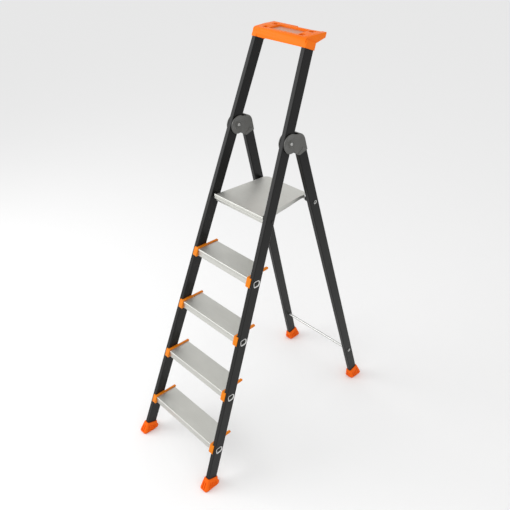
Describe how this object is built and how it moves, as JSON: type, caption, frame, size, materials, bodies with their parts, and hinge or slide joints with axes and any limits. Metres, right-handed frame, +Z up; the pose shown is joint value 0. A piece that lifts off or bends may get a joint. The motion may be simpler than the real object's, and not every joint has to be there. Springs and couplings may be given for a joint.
{
  "type": "step ladder",
  "caption": "Folding platform step ladder: black tube stiles with metal treads and orange end caps, a hinged platform, a hinged rear frame and an orange tool tray on top.",
  "frame": {"origin": "on the floor, at the middle of the open ladder's footprint", "axes": "+Z up, -Y towards the climber, +X to the climber's right"},
  "size_m": [0.4954, 1.0892, 1.79],
  "materials": {
    "black_anodised_aluminium": "black anodised, satin",
    "satin_aluminium": "mill finish, satin",
    "polished_flared_aluminium": "bright drawn tube",
    "orange_moulded_plastic": "moulded, low gloss",
    "grey_moulded_plastic": "moulded, low gloss",
    "black_plastic": "moulded, matte",
    "zinc_plated_steel": "zinc plated",
    "magnet_plate_steel": "plated, dull"
  },
  "bodies": {
    "front_frame": {"front_stile_left": "black_anodised_aluminium", "front_stile_right": "black_anodised_aluminium", "front_foot_left": "orange_moulded_plastic", "front_foot_right": "orange_moulded_plastic", "tread_1": "satin_aluminium", "tread_2": "satin_aluminium", "tread_3": "satin_aluminium", "tread_4": "satin_aluminium", "tread_cap_1_left": "orange_moulded_plastic", "tread_cap_1_right": "orange_moulded_plastic", "tread_cap_2_left": "orange_moulded_plastic", "tread_cap_2_right": "orange_moulded_plastic", "tread_cap_3_left": "orange_moulded_plastic", "tread_cap_3_right": "orange_moulded_plastic", "tread_cap_4_left": "orange_moulded_plastic", "tread_cap_4_right": "orange_moulded_plastic", "hinge_rivet_left": "zinc_plated_steel", "hinge_rivet_right": "zinc_plated_steel", "platform_pin_left": "black_plastic", "platform_pin_right": "black_plastic", "platform_bush_left": "black_plastic", "platform_bush_right": "black_plastic", "tool_tray": "orange_moulded_plastic", "tray_magnet_plate": "magnet_plate_steel"},
    "rear_frame": {"rear_leg_left": "black_anodised_aluminium", "rear_leg_right": "black_anodised_aluminium", "rear_foot_left": "orange_moulded_plastic", "rear_foot_right": "orange_moulded_plastic", "joint_cover_outer_left": "grey_moulded_plastic", "joint_cover_outer_right": "grey_moulded_plastic", "joint_cover_inner_left": "grey_moulded_plastic", "joint_cover_inner_right": "grey_moulded_plastic", "cover_rivet_left": "grey_moulded_plastic", "cover_rivet_right": "grey_moulded_plastic", "rest_sleeve_left": "black_plastic", "rest_sleeve_right": "black_plastic", "platform_rest_tube": "polished_flared_aluminium", "rear_brace_tube": "polished_flared_aluminium"},
    "platform": {"platform_deck": "satin_aluminium", "platform_nosing": "satin_aluminium"}
  },
  "joints": [
    {"name": "rear_frame_fold", "type": "hinge", "parent": "front_frame", "child": "rear_frame", "pos_m": [0, 0.02384, 1.422], "axis": [-1, 0, 0], "range_deg": [0, 35.6]},
    {"name": "platform_lift", "type": "hinge", "parent": "front_frame", "child": "platform", "pos_m": [0, -0.08166, 1.136], "axis": [1, 0, 0], "range_deg": [0, 70]}
  ]
}
